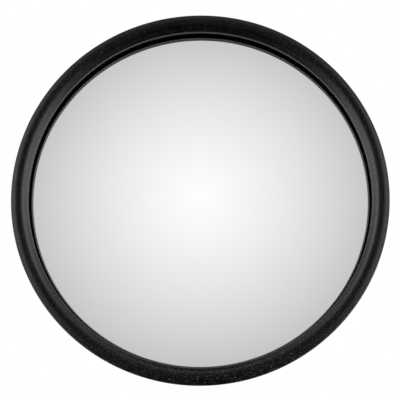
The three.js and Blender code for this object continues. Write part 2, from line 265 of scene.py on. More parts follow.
def plate(outline, holes, thickness, bevel, facets=SMALL):
    """A flat plate between z = 0 and z = thickness with rounded edges. Holes are (x, y, radius)."""
    curve = bpy.data.curves.new("plate", "CURVE")
    curve.dimensions = "2D"
    curve.fill_mode = "BOTH"
    curve.extrude = thickness / 2 - bevel
    curve.bevel_depth = bevel
    curve.bevel_resolution = 2
    curve.offset = -bevel
    for points in [outline] + [circle(*hole, facets)[::-1] for hole in holes]:
        spline = curve.splines.new("POLY")
        spline.points.add(len(points) - 1)
        spline.use_cyclic_u = True
        for point, (x, y) in zip(spline.points, points):
            point.co = (x, y, 0, 1)
    bm = bmesh.new()
    bm.from_mesh(mesh_of(bpy.data.objects.new("plate", curve)))
    bmesh.ops.translate(bm, verts=bm.verts, vec=(0, 0, thickness / 2))
    return finished(bm)


def mesh_of(obj):
    """The mesh of a working object with its modifiers applied. The object is removed."""
    bpy.context.scene.collection.objects.link(obj)
    graph = bpy.context.evaluated_depsgraph_get()
    mesh = bpy.data.meshes.new_from_object(obj.evaluated_get(graph), depsgraph=graph)
    bpy.data.objects.remove(obj)
    return mesh


def moved(mesh, matrix):
    mesh = mesh.copy()
    mesh.transform(matrix)
    return mesh


def boolean(operation, first, others, sharp=32):
    """The first mesh joined with the others, or with them cut away."""
    base = bpy.data.objects.new("base", first)
    tools = [bpy.data.objects.new("tool", mesh) for mesh in others]
    for tool in tools:
        bpy.context.scene.collection.objects.link(tool)
        modifier = base.modifiers.new("boolean", "BOOLEAN")
        modifier.operation = operation
        modifier.solver = "MANIFOLD"
        modifier.object = tool
    bm = bmesh.new()
    bm.from_mesh(mesh_of(base))
    for tool in tools:
        bpy.data.objects.remove(tool)
    return finished(bm, sharp)


def tube(path, radii, facets=12, loop=False):
    """Rings of points about a path, one radius each, as a mesh with closed ends."""
    rings = []
    side = None
    for i, here in enumerate(path):
        after = path[(i + 1) % len(path)] if loop else path[min(i + 1, len(path) - 1)]
        before = path[i - 1] if loop or i else path[0]
        along = (after - before).normalized()
        side = along.orthogonal() if side is None else side - along * side.dot(along)
        side.normalize()
        up = along.cross(side)
        rings.append([here + (side * c + up * s) * radii[i] for c, s in circle(0, 0, 1, facets)])
    return skinned(rings, loop)


def weld_bead(start, end, radius):
    """A straight weld bead with the small ripples of the torch's steps, and rounded ends."""
    ripple = 1.1 * MM
    rings_per_ripple = 6
    rounding = 1.6 * radius
    length = (end - start).length
    count = round(length / ripple * rings_per_ripple)
    path = []
    radii = []
    for i in range(count + 1):
        t = i / count
        from_end = min(min(t, 1 - t) * length / rounding, 1)
        swell = math.sqrt(1 - (1 - from_end) ** 2)
        phase = t * length / ripple % 1
        path.append(start.lerp(end, t))
        radii.append(radius * max(swell, 0.05) * (0.93 + 0.12 * math.sqrt(max(1 - phase, 0.02))))
    return tube(path, radii)


# ---------------------------------------------------------------- materials


class Nodes:
    """Short ways to add nodes to a tree. A value may be a number, a colour or another node's socket."""

    def __init__(self, tree):
        self.tree = tree

    def set(self, socket, value):
        if isinstance(value, bpy.types.NodeSocket):
            self.tree.links.new(value, socket)
        elif isinstance(value, tuple) and len(value) < len(socket.default_value):
            socket.default_value = (*value, 1)
        else:
            socket.default_value = value

    def add(self, kind, inputs=None, **settings):
        node = self.tree.nodes.new(kind)
        for key, value in settings.items():
            setattr(node, key, value)
        for key, value in (inputs or {}).items():
            self.set(node.inputs[key], value)
        return node

    def span(self, value, low, high, to_low=0.0, to_high=1.0, smooth=False):
        inputs = {"Value": value, "From Min": low, "From Max": high, "To Min": to_low, "To Max": to_high}
        kind = "SMOOTHSTEP" if smooth else "LINEAR"
        return self.add("ShaderNodeMapRange", inputs, interpolation_type=kind).outputs["Result"]

    def math(self, operation, a, b=0.0):
        return self.add("ShaderNodeMath", {0: a, 1: b}, operation=operation).outputs[0]

    def blend(self, factor, a, b):
        """A number between a and b."""
        return self.add("ShaderNodeMix", {0: factor, 2: a, 3: b}, data_type="FLOAT").outputs[0]


class Finish(Nodes):
    """A material with one Principled shader, and the textures that feed it."""

    def __init__(self, name, **constants):
        self.material = bpy.data.materials.new(name)
        self.material.use_nodes = True
        super().__init__(self.material.node_tree)
        self.shader = self.tree.nodes["Principled BSDF"]
        self.place = self.add("ShaderNodeTexCoord").outputs["Object"]
        self.feed(**constants)

    def noise(self, scale, detail=3.0, roughness=0.5):
        inputs = {"Vector": self.place, "Scale": scale, "Detail": detail, "Roughness": roughness}
        return self.add("ShaderNodeTexNoise", inputs).outputs["Fac"]

    def cells(self, scale):
        return self.add("ShaderNodeTexVoronoi", {"Vector": self.place, "Scale": scale}).outputs

    def mix(self, factor, a, b):
        """A colour between a and b."""
        return self.add("ShaderNodeMix", {0: factor, 6: a, 7: b}, data_type="RGBA").outputs[2]

    def bump(self, height, distance, strength=1.0, below=None):
        inputs = {"Height": height, "Distance": distance, "Strength": strength}
        if below is not None:
            inputs["Normal"] = below
        return self.add("ShaderNodeBump", inputs).outputs["Normal"]

    def feed(self, **sockets):
        for socket, value in sockets.items():
            self.set(self.shader.inputs[socket.replace("_", " ")], value)
        return self.material


def dust_cover(m, height):
    """Fine specks in one cell in eight or so of a Voronoi texture, fainter above the rim's lowest part."""
    share = 0.12
    cells = m.cells(2100)
    chance = m.add("ShaderNodeSeparateColor", {0: cells["Color"]}).outputs["Red"]
    chosen = m.span(chance, 1 - share, 1.01 - share)
    specks = m.math("MULTIPLY", m.span(cells["Distance"], 0.4, 0.3), chosen)
    return m.math("MULTIPLY", specks, m.span(height, -118 * MM, -143 * MM, 0.35, 1.0))


def rubber_finish():
    """Black moulded rubber: a fine grain, faint cloudy bloom and dust.

    The slope around the mirror is rubbed smoother than the rest, because it is wiped with the mirror.
    The cut edge of the lip is painted pale grey as a painted highlight along the lip, and is duller, and
    has no grain.
    """
    m = Finish("rim_rubber")
    parts = m.add("ShaderNodeSeparateXYZ", {0: m.place}).outputs
    radius = m.math("SQRT", m.math("ADD", m.math("POWER", parts["X"], 2), m.math("POWER", parts["Z"], 2)))
    slope = m.span(radius, RIM_CROWN - 1.6 * MM, RIM_CROWN - 3.1 * MM)
    # The lip's cut edge: the mask for its painted highlight, and for its duller finish.
    edge = m.span(radius, RIM_LIP + 0.5 * MM, RIM_LIP + 0.2 * MM)
    grained = m.span(radius, RIM_LIP + 0.85 * MM, RIM_LIP + 2.35 * MM)
    grain = m.noise(1300, 3, 0.7)
    bloom = m.noise(28, 4, 0.6)
    dust = dust_cover(m, parts["Z"])
    colour = m.mix(m.span(bloom, 0.3, 0.7), (0.0015, 0.0015, 0.0017), (0.004, 0.004, 0.0042))
    # Pale grey on the lip's cut edge: a painted highlight, not the rubber's own colour.
    colour = m.mix(edge, colour, (0.165, 0.165, 0.175))
    colour = m.mix(dust, colour, (0.55, 0.54, 0.53))
    roughness = m.math("SUBTRACT", m.span(bloom, 0.3, 0.7, 0.45, 0.5), m.math("MULTIPLY", slope, 0.25))
    roughness = m.math("ADD", roughness, m.math("MULTIPLY", edge, 0.3))
    roughness = m.math("ADD", roughness, m.math("MULTIPLY", dust, 0.3))
    return m.feed(Base_Color=colour, Roughness=roughness, Normal=m.bump(grain, 0.17 * MM, grained))


def mirror_finish():
    """A metallised mirror with a hardly visible haze."""
    m = Finish("mirror_face", Metallic=1.0, Roughness=0.0)
    haze = m.noise(14, 3)
    return m.feed(Base_Color=m.mix(m.span(haze, 0.3, 0.7), (0.985, 0.987, 0.99), (0.975, 0.978, 0.98)))


def abs_finish():
    """Black moulded ABS with a fine spark-eroded texture."""
    m = Finish("black_abs")
    texture = m.noise(1700, 3, 0.6)
    cloud = m.noise(22, 3)
    colour = m.mix(m.span(cloud, 0.3, 0.7), (0.012, 0.012, 0.013), (0.018, 0.018, 0.019))
    roughness = m.span(texture, 0.3, 0.7, 0.42, 0.56)
    return m.feed(Base_Color=colour, Roughness=roughness, Normal=m.bump(texture, 0.09 * MM, 0.6))


def powder_finish():
    """Black powder coat over steel, with its slight orange peel."""
    m = Finish("powder_coat", Coat_Weight=0.2, Coat_Roughness=0.2)
    peel = m.noise(520, 2, 0.4)
    speckle = m.noise(3000, 1)
    colour = m.mix(m.span(speckle, 0.35, 0.65), (0.012, 0.012, 0.013), (0.02, 0.02, 0.021))
    normal = m.bump(speckle, 0.02 * MM, 0.3, m.bump(peel, 0.08 * MM, 0.5))
    return m.feed(Base_Color=colour, Roughness=m.span(peel, 0.3, 0.7, 0.3, 0.4), Normal=normal)


def zinc_finish():
    """Bright zinc plate with a faint blue passivation and cloudy patches."""
    m = Finish("zinc_plate", Metallic=1.0)
    cloud = m.noise(240, 4, 0.6)
    fine = m.noise(2600, 2)
    colour = m.mix(m.span(cloud, 0.35, 0.65), (0.52, 0.54, 0.57), (0.64, 0.64, 0.62))
    patches = m.math("ADD", cloud, m.math("MULTIPLY", fine, 0.4))
    roughness = m.span(patches, 0.5, 0.9, 0.24, 0.42)
    return m.feed(Base_Color=colour, Roughness=roughness, Normal=m.bump(fine, 0.02 * MM, 0.4))


def nylon_finish():
    """Natural nylon, slightly translucent."""
    m = Finish("nylon", Subsurface_Weight=0.2, Subsurface_Scale=0.002)
    cloud = m.noise(160, 3)
    colour = m.mix(m.span(cloud, 0.3, 0.7), (0.62, 0.6, 0.54), (0.7, 0.68, 0.62))
    return m.feed(Base_Color=colour, Roughness=m.span(cloud, 0.3, 0.7, 0.38, 0.5))


def foam_finish():
    """Dark closed-cell foam."""
    m = Finish("foam")
    cells = m.cells(1300)["Distance"]
    colour = m.mix(m.span(cells, 0.1, 0.6), (0.03, 0.03, 0.03), (0.07, 0.07, 0.07))
    roughness = m.span(cells, 0, 0.7, 0.85, 0.97)
    return m.feed(Base_Color=colour, Roughness=roughness, Normal=m.bump(cells, 0.2 * MM))


FINISHES = {
    "rim_rubber": rubber_finish(),
    "mirror_face": mirror_finish(),
    "black_abs": abs_finish(),
    "powder_coat": powder_finish(),
    "zinc_plate": zinc_finish(),
    "nylon": nylon_finish(),
    "foam": foam_finish(),
}

# ---------------------------------------------------------------- mirror head
# Profiles are (radius, depth) pairs, turned about the head's axis.

DEPTH_ALONG_Y = Matrix(((1, 0, 0, 0), (0, 0, 1, 0), (0, 1, 0, 0), (0, 0, 0, 1)))


def on_head(mesh):
    """Turns a mesh about Z into one about Y, with heights along +Y as depths."""
    mesh.transform(DEPTH_ALONG_Y)
    mesh.flip_normals()
    return mesh


def dome_depth(radius):
    apex = FLANGE_FRONT - sagitta(DOME_CURVATURE, DOME_EDGE)
    return apex + sagitta(DOME_CURVATURE, radius)


def rim_mesh():
    """The crown and the outer wall, the rear, the groove for the flanges, the undercut and the lip."""
    crown = RIM_RADIUS - RIM_CROWN
    shoulder = arc(
        RIM_CROWN, RIM_SHOULDER, RIM_SHOULDER, RIM_SHOULDER,
        -math.pi / 2 - RIM_SLOPE, -math.pi / 2, 16,
    )
    outside = arc(RIM_CROWN, crown, crown, crown, -math.pi / 2, RIM_TAPER, 24)[1:]
    slope_radius, slope_depth = shoulder[0]
    wall_radius, wall_depth = outside[-1]
    lip_front = slope_depth + (slope_radius - RIM_LIP) * math.tan(RIM_SLOPE)
    lip_rear = lip_front + LIP_EDGE
    rear_radius = wall_radius - (RIM_DEPTH - wall_depth) * math.tan(RIM_TAPER)
    groove_front = FLANGE_FRONT - GROOVE_PLAY
    groove_rear = COVER_REAR + GROOVE_PLAY
    section = rounded([
        *((r, depth, 0) for r, depth in shoulder + outside),
        (rear_radius, RIM_DEPTH, 3 * MM),
        (RIM_REAR_INNER, RIM_DEPTH, 1.4 * MM),
        (RIM_REAR_INNER, groove_rear, 0.4 * MM),
        (GROOVE_BOTTOM, groove_rear, 0.3 * MM),
        (GROOVE_BOTTOM, groove_front, 0.3 * MM),
        (LIP_UNDERCUT, groove_front, 0.3 * MM),
        (LIP_UNDERCUT, lip_rear, 0.8 * MM),
        (RIM_LIP, lip_rear, 0.3 * MM),
        (RIM_LIP, lip_front, 0.45 * MM),
    ], 6)
    return on_head(turned(section, ROUND))


def dome_mesh():
    """A spherical sheet with a flat flange."""
    centre = dome_depth(0) + DOME_CURVATURE
    inner = DOME_CURVATURE - DOME_THICKNESS
    flange_rear = FLANGE_FRONT + DOME_THICKNESS
    front_edge = math.asin(DOME_EDGE / DOME_CURVATURE)
    back_edge = math.acos((centre - flange_rear) / inner)
    pole = -math.pi / 2
    front = arc(0, centre, DOME_CURVATURE, DOME_CURVATURE, pole, pole + front_edge, 64)
    back = arc(0, centre, inner, inner, pole + back_edge, pole, 16)
    front[0] = (0, front[0][1])
    back[-1] = (0, back[-1][1])
    flange = [(FLANGE_RADIUS, FLANGE_FRONT), (FLANGE_RADIUS, flange_rear)]
    return on_head(turned(front + flange + back, ROUND))


def seal_mesh():
    low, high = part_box("seal_ring")
    front = low.y - CROWN_Y
    rear = high.y - CROWN_Y
    outer = high.x
    inner = outer - SEAL_WIDTH
    soft = 0.4 * MM
    section = [(inner, front, soft), (outer, front, soft), (outer, rear, soft), (inner, rear, soft)]
    return on_head(turned(rounded(section), ROUND))


def cone_depth(radius):
    slope = (BOSS_FOOT_DEPTH - SHOULDER_DEPTH) / (SHOULDER_RADIUS - BOSS_FOOT)
    return BOSS_FOOT_DEPTH - slope * (radius - BOSS_FOOT)


def cover_profile():
    """The rear skin's points from skirt to axis, and the front skin's points from axis to flange."""
    shoulder = arc(
        SHOULDER_RADIUS, SKIRT_DEPTH,
        SKIRT_RADIUS - SHOULDER_RADIUS, SHOULDER_DEPTH - SKIRT_DEPTH,
        0, math.pi / 2, 16,
    )
    rib_ends = [RIB_OUTER - i * 0.5 * MM for i in range(-2, 9)]
    along_ribs = np.linspace(RIB_OUTER - 8 * MM, BOSS_FOOT + 3 * MM, 18)
    cone = [(r, cone_depth(r)) for r in (*rib_ends, *along_ribs)]
    boss = rounded([
        (*cone[-1], 0),
        (BOSS_FOOT, BOSS_FOOT_DEPTH, 1.6 * MM),
        (BOSS_RADIUS, BOSS_DEPTH, 1.2 * MM),
        (BOSS_RADIUS - 4 * MM, BOSS_DEPTH, 0),
    ], 6)
    rear = shoulder + cone + boss[1:] + [(0.0, BOSS_DEPTH)]
    inside = SKIRT_RADIUS - COVER_WALL
    front = [
        (0.0, BOSS_DEPTH - BOSS_THICKNESS),
        (BOSS_RADIUS - 1 * MM, BOSS_DEPTH - BOSS_THICKNESS),
        (BOSS_FOOT, BOSS_FOOT_DEPTH - COVER_WALL),
        (SHOULDER_RADIUS, SHOULDER_DEPTH - COVER_WALL),
        (inside, SKIRT_DEPTH - COVER_WALL / 2),
        (inside, COVER_FRONT),
        (FLANGE_RADIUS, COVER_FRONT),
        (FLANGE_RADIUS, COVER_REAR),
        (SKIRT_RADIUS, COVER_REAR),
    ]
    return rear, front


def rib_rise(radius, depth, aside):
    """How far a rib lifts the rear skin at this radius, this far aside from its middle line."""
    crest = 1 - smooth_step(0.6 * RIB_HALF_WIDTH, 1.25 * RIB_HALF_WIDTH, aside)
    outer_end = 1 - smooth_step(RIB_OUTER - 3 * MM, RIB_OUTER, radius)
    inner_end = smooth_step(BOSS_RADIUS - 0.4 * MM, BOSS_RADIUS + 0.4 * MM, radius)
    top = min(cone_depth(radius) + RIB_HEIGHT, BOSS_DEPTH - 0.2 * MM)
    return max(top - depth, 0) * crest * outer_end * inner_end


def cover_mesh():
    """A thin moulded dish. Its grid lines bunch up along the ribs, and are even near the axis.

    Each line is given by its distance from the rib's middle, and by its share of the rest of the way from
    there to the sector's edge.
    """
    rear, front = cover_profile()
    offsets = [offset * MM for offset in (0, 0.5, 0.8, 1.05, 1.3, 1.6, 2, 2.6, 4)]
    widest = offsets[-1]
    lines = [(-widest, share) for share in (-0.75, -0.5, -0.25)]
    lines += [(-offset, 0) for offset in offsets[:0:-1]]
    lines += [(offset, 0) for offset in offsets]
    lines += [(widest, share) for share in (0.25, 0.5, 0.75, 1)]
    rings = []
    for sector in range(RIB_COUNT):
        middle = (2 * sector + 1) * HALF_SECTOR
        for aside, share in lines:
            ring = []
            for i, (radius, depth) in enumerate(rear + front):
                near = math.asin(min(max(aside / max(radius, 1e-6), -1), 1))
                bunched = near + (math.copysign(HALF_SECTOR, share) - near) * abs(share)
                even = HALF_SECTOR * (aside / widest + share) / 2
                angle = even + (bunched - even) * smooth_step(30 * MM, 44 * MM, radius)
                if i < len(rear):
                    depth += rib_rise(radius, depth, abs(radius * math.sin(angle)))
                ring.append((radius * math.cos(middle + angle), radius * math.sin(middle + angle), depth))
            rings.append(ring)
    return on_head(skinned(rings, sharp=40))


def stiffener_mesh():
    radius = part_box("stiffener_plate")[1].x
    x, y, hole = YOKE_HOLES
    holes = [(0, 0, STIFFENER_BORE)] + [(px, py, hole) for px, py in corners(x, y)]
    return plate(circle(0, 0, radius, ROUND), holes, STIFFENER_THICKNESS, 0.25 * MM)


# ---------------------------------------------------------------- brackets and arm


def bracket_plate(width, height, corner, holes):
    x, y, radius = holes
    outline = rounded([(px, py, corner) for px, py in corners(width / 2, height / 2)], 10)
    return plate(outline, [(px, py, radius) for px, py in corners(x, y)], PLATE_THICKNESS, 0.5 * MM)


def ear_pair(reach, base_half):
    """Two ears about the Z axis that stand on a plate at y = reach, with weld beads along their feet."""
    lean = math.acos(EAR_RADIUS / math.hypot(base_half, reach)) - math.atan2(reach, base_half)
    end = arc(0, 0, EAR_RADIUS, EAR_RADIUS, math.pi + lean, TAU - lean, 40)
    buried = reach + 1 * MM
    outline = [(-base_half, buried)] + end + [(base_half, buried)]
    ear = plate(outline, [(0, 0, EAR_HOLE)], EAR_THICKNESS, 0.4 * MM, MEDIUM)
    bead_half = base_half - 1 * MM
    parts = []
    for low in (EAR_INNER, -EAR_INNER - EAR_THICKNESS):
        parts.append(moved(ear, Matrix.Translation((0, 0, low))))
        for z in (low, low + EAR_THICKNESS):
            start = Vector((-bead_half, reach, z))
            parts.append(weld_bead(start, Vector((bead_half, reach, z)), EAR_BEAD))
    return parts


def wall_bracket_mesh():
    """In the row frame. The ears are built about the pan axis."""
    flat = bracket_plate(WALL_PLATE.x, WALL_PLATE.z, WALL_CORNER, WALL_HOLES)
    flat.transform(FORWARDS)
    reach = -PLATE_THICKNESS - PAN_AXIS.y
    ears = [moved(part, AT_PAN) for part in ear_pair(reach, WALL_EAR_BASE)]
    return boolean("UNION", flat, ears)


def tilt_yoke_mesh():
    """In the row frame. The ears are built about the tilt axis."""
    flat = bracket_plate(YOKE_PLATE.x, YOKE_PLATE.z, YOKE_CORNER, YOKE_HOLES)
    flat.transform(Matrix.Translation((0, YOKE_REAR, 0)) @ FORWARDS)
    reach = TILT_AXIS.y - YOKE_REAR
    ears = [moved(part, AT_TILT @ HALF_TURN) for part in ear_pair(reach, YOKE_EAR_BASE)]
    return boolean("UNION", flat, ears)


def barrel_mesh():
    mouth = 0.4 * MM
    edge = 0.7 * MM
    return turned(rounded([
        (BARREL_BORE, -BARREL_HALF, mouth),
        (BARREL_RADIUS, -BARREL_HALF, edge),
        (BARREL_RADIUS, BARREL_HALF, edge),
        (BARREL_BORE, BARREL_HALF, mouth),
    ]))


def saddle_bead():
    """The rippled weld where the bar, along Y, meets a barrel that stands about Z."""
    count = 200
    rings_per_ripple = 5
    clear = 0.2 * MM
    path = []
    radii = []
    for i in range(count):
        angle = i / count * TAU
        x = (ROD_RADIUS + clear) * math.cos(angle)
        z = (ROD_RADIUS + clear) * math.sin(angle)
        path.append(Vector((x, -math.sqrt(BARREL_RADIUS**2 - x * x) - clear, z)))
        phase = i % rings_per_ripple / rings_per_ripple
        radii.append(ROD_BEAD * (0.94 + 0.1 * math.sqrt(max(1 - phase, 0.05))))
    return tube(path, radii, loop=True)


def swivel_arm_mesh():
    """In the row frame, from the pan barrel to the tilt barrel."""
    reach = PAN_AXIS.y - TILT_AXIS.y
    inset = BARREL_RADIUS - 1.5 * MM
    bar = cylinder(ROD_RADIUS, inset, reach - inset)
    bar.transform(AT_PAN @ FORWARDS)
    pan_weld = moved(saddle_bead(), AT_PAN)
    tilt_weld = moved(saddle_bead(), AT_TILT @ HALF_TURN)
    parts = [bar, pan_weld, tilt_weld, moved(barrel_mesh(), AT_TILT)]
    return boolean("UNION", moved(barrel_mesh(), AT_PAN), parts)


# ---------------------------------------------------------------- fasteners and bushes


def hex_prism(flats, height, both_ends=False):
    """A hexagon on z = 0. Its corners are turned off at 30 degrees, on top or at both ends."""
    across = flats / math.sqrt(3)
    prism = skinned([[(x, y, z) for x, y in circle(0, 0, across, 6)] for z in (0, height)], loop=False)
    face = flats * 0.475
    wide = across * 1.05
    drop = (wide - face) * math.tan(math.pi / 6)
    foot = [(face, 0), (wide, drop)] if both_ends else [(wide, 0)]
    lathe = turned([(0, 0), *foot, (wide, height - drop), (face, height), (0, height)])
    return boolean("INTERSECT", prism, [lathe])


def threaded_rod(radius, pitch, start, end, facets=MEDIUM):
    """A rod from z = start down to z = end. Its thread runs out at the start, and its end is bevelled."""
    groove = 0.54 * pitch
    chamfer = 0.9 * MM
    per_turn = 10
    count = round((start - end) / pitch * per_turn)
    angles = np.arange(facets) / facets * TAU
    rings = []
    for i in range(count + 1):
        z = start + (end - start) * i / count
        phase = (z / pitch + angles / TAU) % 1
        ridge = np.clip(1 - np.abs(phase * 2 - 1) * 1.25, 0, 1)
        fade = smooth_step(0, 1.5 * pitch, start - z)
        tip = max(0.0, chamfer - (z - end))
        r = np.minimum(radius - groove * (1 - ridge) * fade, radius - tip)
        rings.append(np.stack([r * np.cos(angles), r * np.sin(angles), np.full(facets, z)], axis=1))
    return skinned(rings, loop=False, sharp=50)


def m8_bolt_mesh(node):
    """As long as the CAD node. The head's underside is at z = 0, and the shank points down."""
    low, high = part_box(node)
    length = max(high - low) - M8_HEAD
    shank = cylinder(M8_RADIUS, 1 * MM, -M8_PLAIN_SHANK)
    thread = threaded_rod(M8_RADIUS, M8_PITCH, 0.5 * MM - M8_PLAIN_SHANK, -length)
    return boolean("UNION", shank, [hex_prism(M8_FLATS, M8_HEAD), thread])


def washer_mesh(bore, radius, thickness):
    """A punched washer on z = 0: rounded on top where the punch entered, and sharper below."""
    return turned(rounded([
        (bore, 0, 0.1 * MM), (radius, 0, 0.12 * MM),
        (radius, thickness, 0.4 * MM), (bore, thickness, 0.3 * MM),
    ]))


def lock_washer_mesh(bore, radius, thickness, facets=MEDIUM):
    """A split spring washer on z = 0, cut at a slant, whose flattened ends still stand a little apart."""
    slit = 0.14  # radians
    slant = 1.2 * slit
    rise = 0.12 * thickness
    body = thickness - rise
    edge = 0.18 * MM
    section = rounded([(bore, 0, edge), (radius, 0, edge), (radius, body, edge), (bore, body, edge)], 2)
    rings = []
    for i in range(facets + 1):
        t = i / facets
        near_slit = abs(2 * t - 1) ** 6
        ring = []
        for r, z in section:
            angle = slit / 2 + (TAU - slit) * t + (z / body - 0.5) * slant * near_slit
            ring.append((r * math.cos(angle), r * math.sin(angle), z + rise * t))
        rings.append(ring)
    return skinned(rings, loop=False)


def wing_nut_mesh():
    """A cast wing nut on z = 0. Its fillets come from remeshing the joined shapes and smoothing them."""
    base, top, hub, bore = 8 * MM, 6.4 * MM, 10 * MM, 4.1 * MM
    span, height, thickness, tip = 17.5 * MM, 17 * MM, 3.2 * MM, 4.4 * MM
    body = turned(rounded([
        (bore, 0, 0.3 * MM), (base, 0, 0.5 * MM), (base, 2 * MM, 0.8 * MM),
        (top, hub, 0.8 * MM), (bore, hub, 0.6 * MM),
    ]))
    root = (bore + top) / 2
    outline = [(root, 1 * MM), (base, 1 * MM)]
    outline += arc(base, height - 2 * tip, span - base, height - 3 * tip, -math.pi / 2, 0, 16)
    outline += arc(span - tip, height - tip, tip, tip, 0, 0.8 * math.pi, 20)
    outline += [(base, hub), (root, hub - 0.5 * MM)]
    wing = plate(outline, [], thickness, 1.1 * MM)
    upright = FORWARDS @ Matrix.Translation((0, 0, -thickness / 2))
    wings = [moved(wing, upright), moved(wing, HALF_TURN @ upright)]
    nut = bpy.data.objects.new("nut", boolean("UNION", body, wings))
    remesh = nut.modifiers.new("remesh", "REMESH")
    remesh.mode = "VOXEL"
    remesh.voxel_size = 0.32 * MM
    smooth = nut.modifiers.new("smooth", "SMOOTH")
    smooth.factor = 0.5
    smooth.iterations = 9
    bm = bmesh.new()
    bm.from_mesh(mesh_of(nut))
    return finished(bm, 60)


def bush_mesh():
    """A flanged bush in the upper end of a barrel."""
    seat = BARREL_HALF + FACE_GAP
    foot = seat - 8 * MM
    top = seat + 2 * MM
    bore, sleeve, flange = 4.35 * MM, 5.7 * MM, 10.4 * MM
    return turned(rounded([
        (bore, foot, 0.3 * MM), (sleeve, foot, 0.5 * MM), (sleeve, seat, 0.2 * MM),
        (flange, seat, 0.3 * MM), (flange, top, 0.4 * MM), (bore, top, 0.3 * MM),
    ]))


def cross_recess():
    """Two crossed blades and a cone, to be cut from the top of an M5 head."""
    wide, deep, half_thickness = 2.6 * MM, 2.1 * MM, 0.52 * MM
    above = M5_HEAD + 1 * MM
    outline = [
        (-wide, M5_HEAD), (-wide / 2, M5_HEAD - deep), (wide / 2, M5_HEAD - deep), (wide, M5_HEAD),
        (wide, above), (-wide, above),
    ]
    faces = [[(x, y, z) for x, z in outline] for y in (-half_thickness, half_thickness)]
    blade = skinned(faces, loop=False)
    tip, neck = M5_HEAD - 2.4 * MM, M5_HEAD - 1 * MM
    cone = turned([(0, tip), (1.3 * MM, neck), (1.6 * MM, above), (0, above)], SMALL)
    return boolean("UNION", blade, [moved(blade, Matrix.Rotation(math.pi / 2, 4, "Z")), cone])


def pan_screw_mesh():
    """An M5 pan-head screw with a cross recess. The head's underside is at z = 0."""
    rim = 1.2 * MM
    soft = 0.15 * MM
    overlap = 2 * MM
    crown = [(0, M5_HEAD)] + [
        (M5_HEAD_RADIUS * math.sin(a), rim + (M5_HEAD - rim) * math.cos(a))
        for a in np.linspace(0.12, math.pi / 2, 14)
    ]
    foot = [(M5_HEAD_RADIUS, soft), (M5_HEAD_RADIUS - soft, 0), (M5_RADIUS, 0)]
    body = turned(crown + foot + [(M5_RADIUS, -overlap), (0, -overlap)], SMALL)
    thread = threaded_rod(M5_RADIUS, M5_PITCH, -1.5 * MM, -M5_LENGTH, SMALL)
    return boolean("DIFFERENCE", boolean("UNION", body, [thread]), [cross_recess()])


def plate_nut_mesh():
    bore = cylinder(2.65 * MM, -1 * MM, M5_NUT + 1 * MM, SMALL)
    return boolean("DIFFERENCE", hex_prism(M5_FLATS, M5_NUT, both_ends=True), [bore])


# ---------------------------------------------------------------- assembly


def place_piece(name, mesh, matrix, body, slot):
    """Adds the piece that stands for the CAD node of this name."""
    mesh = flat_where_flat(moved(mesh, matrix))
    mesh.materials.clear()
    mesh.materials.append(FINISHES[slot])
    piece = bpy.data.objects.new("v_" + name, mesh)
    bpy.context.scene.collection.objects.link(piece)
    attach(piece, body)
    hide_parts(name)


def add_clamp(name, at, fixed, moving, lock, nut, ends):
    """The bolt, washers, wing nut and bushes of one pivot. The bolt's head is at the axis's upper end."""
    washer = EAR_INNER + EAR_THICKNESS + FACE_GAP
    head = washer + M8_WASHER + FACE_GAP
    wings = head + M8_LOCK_WASHER + FACE_GAP

    def above(z):
        return at @ Matrix.Translation((0, 0, z))

    def below(z):
        return above(-z) @ UPSIDE_DOWN

    plain = washer_mesh(4.4 * MM, 8 * MM, M8_WASHER)
    split = lock_washer_mesh(4.4 * MM, 7.4 * MM, M8_LOCK_WASHER)
    place_piece(f"{name}_bolt", m8_bolt_mesh(f"{name}_bolt"), above(head), fixed, "zinc_plate")
    place_piece(f"{name}_head_washer", plain, above(washer), fixed, "zinc_plate")
    place_piece(f"{name}_nut_washer", plain, below(washer), fixed, "zinc_plate")
    place_piece(f"{name}_lock_washer", split, below(head), lock, "zinc_plate")
    place_piece(f"{name}_wing_nut", wing_nut_mesh(), below(wings), nut, "zinc_plate")
    place_piece(f"{name}_bush_{ends[0]}", bush_mesh(), at, moving, "nylon")
    place_piece(f"{name}_bush_{ends[1]}", bush_mesh(), at @ UPSIDE_DOWN, moving, "nylon")


def add_yoke_screws(places):
    """Each screw and its lock washer behind the yoke, and its nut in front of the stiffener plate."""
    screw = pan_screw_mesh()
    lock = lock_washer_mesh(2.85 * MM, 4.4 * MM, 1.2 * MM, SMALL)
    nut = plate_nut_mesh()
    for i, (x, z) in enumerate(places, 1):
        lock_low, lock_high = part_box(f"yoke_lock_washer_{i}")
        nut_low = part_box(f"plate_nut_{i}")[0]
        stack = [
            ("yoke_screw", screw, lock_high.y + FACE_GAP),
            ("yoke_lock_washer", lock, lock_low.y),
            ("plate_nut", nut, nut_low.y),
        ]
        for name, mesh, y in stack:
            at = Matrix.Translation((x, y, z)) @ REARWARDS
            place_piece(f"{name}_{i}", mesh, at, "mirror_head", "zinc_plate")


def add_head():
    place_piece("rim", rim_mesh(), ON_HEAD, "mirror_head", "rim_rubber")
    place_piece("mirror_dome", dome_mesh(), ON_HEAD, "mirror_head", "mirror_face")
    place_piece("seal_ring", seal_mesh(), ON_HEAD, "mirror_head", "foam")
    screws = corners(*YOKE_HOLES[:2])
    drill = cylinder(YOKE_HOLES[2], -20 * MM, 60 * MM, SMALL)
    drills = [moved(drill, Matrix.Translation((x, 0, z)) @ REARWARDS) for x, z in screws]
    cover = boolean("DIFFERENCE", cover_mesh(), drills, 40)
    place_piece("back_cover", cover, ON_HEAD, "mirror_head", "black_abs")
    stiffener_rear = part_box("stiffener_plate")[1].y
    stiffener_at = Matrix.Translation((0, stiffener_rear, 0)) @ FORWARDS
    place_piece("stiffener_plate", stiffener_mesh(), stiffener_at, "mirror_head", "zinc_plate")
    place_piece("tilt_yoke", tilt_yoke_mesh(), IN_PLACE, "mirror_head", "powder_coat")
    add_yoke_screws(screws)


